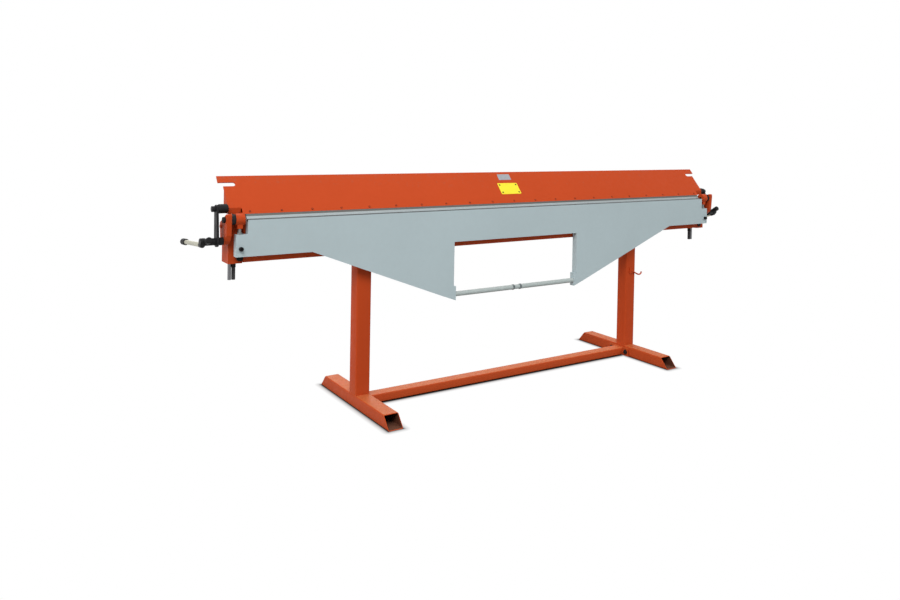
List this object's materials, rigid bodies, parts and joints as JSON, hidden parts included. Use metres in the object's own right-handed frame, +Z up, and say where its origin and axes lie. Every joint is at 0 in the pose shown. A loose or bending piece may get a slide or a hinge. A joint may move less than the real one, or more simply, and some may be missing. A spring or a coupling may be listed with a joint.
{
  "type": "sheet metal brake",
  "caption": "Long hand-operated sheet metal brake on a two-post stand, with a sloped clamping beam, a hinged folding beam with a trussed window, and end clamp cranks.",
  "frame": {"origin": "on the floor, midway between the two posts, at the centre of the feet", "axes": "+X along the beams to the operator's right, +Z up, the operator stands at -Y"},
  "size_m": [3.5488, 0.777, 1.175],
  "materials": {
    "orange_enamel": "satin orange-red enamel on steel",
    "grey_enamel": "satin blue-grey enamel on steel",
    "black_steel": "blackened steel",
    "black_plastic": "matt black plastic grip",
    "bright_steel": "ground bright steel",
    "dark_steel": "dark oiled steel",
    "zinc_steel": "yellowish zinc plate",
    "black_rubber": "black rubber"
  },
  "bodies": {
    "stand": {"left_foot": "orange_enamel", "right_foot": "orange_enamel", "left_post": "orange_enamel", "right_post": "orange_enamel", "left_saddle_plate": "orange_enamel", "right_saddle_plate": "orange_enamel", "left_crossbar_flange": "orange_enamel", "right_crossbar_flange": "orange_enamel", "left_cheek": "orange_enamel", "right_cheek": "orange_enamel", "left_rest_buffer": "black_rubber", "right_rest_buffer": "black_rubber", "left_hinge_ear": "orange_enamel", "right_hinge_ear": "orange_enamel", "left_hinge_pin": "black_steel", "right_hinge_pin": "black_steel", "left_hinge_washer": "black_steel", "right_hinge_washer": "black_steel", "crossbar": "orange_enamel", "tool_hook": "orange_enamel", "bed_beam": "orange_enamel", "bed_jaw": "bright_steel", "rear_strap": "orange_enamel"},
    "clamping_beam": {"upper_beam": "orange_enamel", "nose_blade": "dark_steel", "left_end_plate": "orange_enamel", "right_end_plate": "orange_enamel", "left_guide_rod": "bright_steel", "right_guide_rod": "bright_steel", "left_guide_tube": "black_steel", "right_guide_tube": "black_steel"},
    "folding_beam": {"bending_beam": "grey_enamel", "bending_blade": "dark_steel", "left_tab_bolt": "black_steel", "right_tab_bolt": "black_steel", "left_knuckle": "orange_enamel", "right_knuckle": "orange_enamel", "left_tie_tube": "grey_enamel", "right_tie_tube": "grey_enamel"},
    "tension_screw": {"tension_screw": "grey_enamel"},
    "left_crank": {"left_crank_hub": "black_steel", "left_crank_arm": "black_steel", "left_lever_knob": "black_plastic", "left_lever": "zinc_steel", "left_lever_cap": "black_plastic", "left_grip_bolt": "black_steel"},
    "left_grip": {"left_grip": "black_plastic"},
    "left_lock_nut": {"left_lock_nut": "grey_enamel"},
    "left_adjusting_stud": {"left_adjusting_stud": "zinc_steel"},
    "right_crank": {"right_crank_hub": "black_steel", "right_crank_arm": "black_steel", "right_lever_knob": "black_plastic", "right_lever": "zinc_steel", "right_lever_cap": "black_plastic", "right_grip_bolt": "black_steel"},
    "right_grip": {"right_grip": "black_plastic"},
    "right_lock_nut": {"right_lock_nut": "grey_enamel"},
    "right_adjusting_stud": {"right_adjusting_stud": "zinc_steel"}
  },
  "joints": [
    {"name": "clamp_lift", "type": "slide", "parent": "stand", "child": "clamping_beam", "axis": [0, 0, 1], "range_m": [0, 0.04]},
    {"name": "fold_turn", "type": "hinge", "parent": "stand", "child": "folding_beam", "pos_m": [0, -0.06, 0.9863], "axis": [-1, 0, 0], "range_deg": [0, 125]},
    {"name": "tension_screw_turn", "type": "hinge", "parent": "folding_beam", "child": "tension_screw", "pos_m": [0, -0.06805, 0.53], "axis": [1, 0, 0], "continuous": true},
    {"name": "left_crank_turn", "type": "hinge", "parent": "stand", "child": "left_crank", "pos_m": [-1.6899, -0.031, 0.8865], "axis": [-1, 0, 0], "range_deg": [0, 100]},
    {"name": "left_grip_turn", "type": "hinge", "parent": "left_crank", "child": "left_grip", "pos_m": [-1.644, -0.0225, 1.0337], "axis": [1, 0, 0], "continuous": true},
    {"name": "left_lock_nut_turn", "type": "hinge", "parent": "folding_beam", "child": "left_lock_nut", "pos_m": [-0.0307, -0.06805, 0.53], "axis": [1, 0, 0], "continuous": true},
    {"name": "left_adjusting_stud_turn", "type": "hinge", "parent": "folding_beam", "child": "left_adjusting_stud", "pos_m": [-1.6015, -0.0647, 0.9175], "axis": [0, 0, 1], "continuous": true},
    {"name": "right_crank_turn", "type": "hinge", "parent": "stand", "child": "right_crank", "pos_m": [1.6899, -0.031, 0.8865], "axis": [-1, 0, 0], "range_deg": [0, 100]},
    {"name": "right_grip_turn", "type": "hinge", "parent": "right_crank", "child": "right_grip", "pos_m": [1.644, 0.01775, 1.02565], "axis": [1, 0, 0], "continuous": true},
    {"name": "right_lock_nut_turn", "type": "hinge", "parent": "folding_beam", "child": "right_lock_nut", "pos_m": [0.0307, -0.06805, 0.53], "axis": [1, 0, 0], "continuous": true},
    {"name": "right_adjusting_stud_turn", "type": "hinge", "parent": "folding_beam", "child": "right_adjusting_stud", "pos_m": [1.6015, -0.0647, 0.9175], "axis": [0, 0, 1], "continuous": true}
  ],
  "couplings": [
    {"joint": "left_crank_turn", "follows": "clamp_lift", "rad_per_m": 43.6},
    {"joint": "right_crank_turn", "follows": "clamp_lift", "rad_per_m": 43.6}
  ]
}
